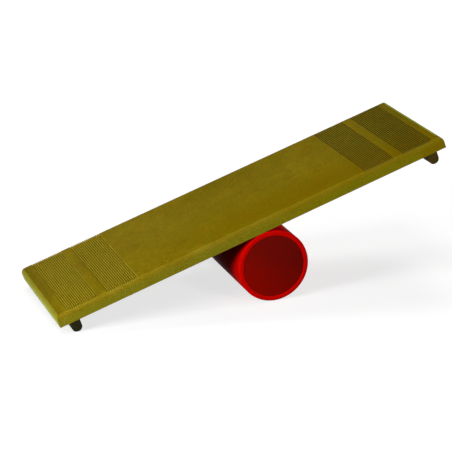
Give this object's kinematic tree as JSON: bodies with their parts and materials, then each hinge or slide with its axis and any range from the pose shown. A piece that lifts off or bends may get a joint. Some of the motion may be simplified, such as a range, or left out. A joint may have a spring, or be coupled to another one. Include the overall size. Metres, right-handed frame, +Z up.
{
  "type": "rola bola balance board",
  "caption": "Long plank with grooved foot areas that see-saws on a loose round roller; a cross batten under each end keeps the roller from running out.",
  "frame": {"origin": "on the floor, on the roller's lowest flat, under the middle of the roller's axis", "axes": "+Z up, +X along the plank towards its raised end, +Y along the roller's axis, away from the viewer of the picture"},
  "size_m": [0.7015, 0.254, 0.248],
  "materials": {
    "deck_board": "oiled olive-brown fibreboard, satin, fine mottling",
    "stop_wood": "hardwood stained nearly black, satin lacquer",
    "screw_steel": "zinc-plated, dull",
    "roller_plastic": "bright red, glossy",
    "end_disc_plastic": "deep red, satin"
  },
  "bodies": {
    "roller": {"roller_tube": "roller_plastic", "roller_end_disc_front": "end_disc_plastic", "roller_end_disc_rear": "end_disc_plastic"},
    "board": {"deck": "deck_board", "stop_left": "stop_wood", "stop_right": "stop_wood", "stop_screw_left_1": "screw_steel", "stop_screw_left_2": "screw_steel", "stop_screw_left_3": "screw_steel", "stop_screw_right_1": "screw_steel", "stop_screw_right_2": "screw_steel", "stop_screw_right_3": "screw_steel"}
  },
  "joints": [
    {"name": "board_tilt", "type": "hinge", "parent": "roller", "child": "board", "pos_m": [0, 0, 0.06244], "axis": [0, 1, 0], "range_deg": [0, 35.2]}
  ]
}
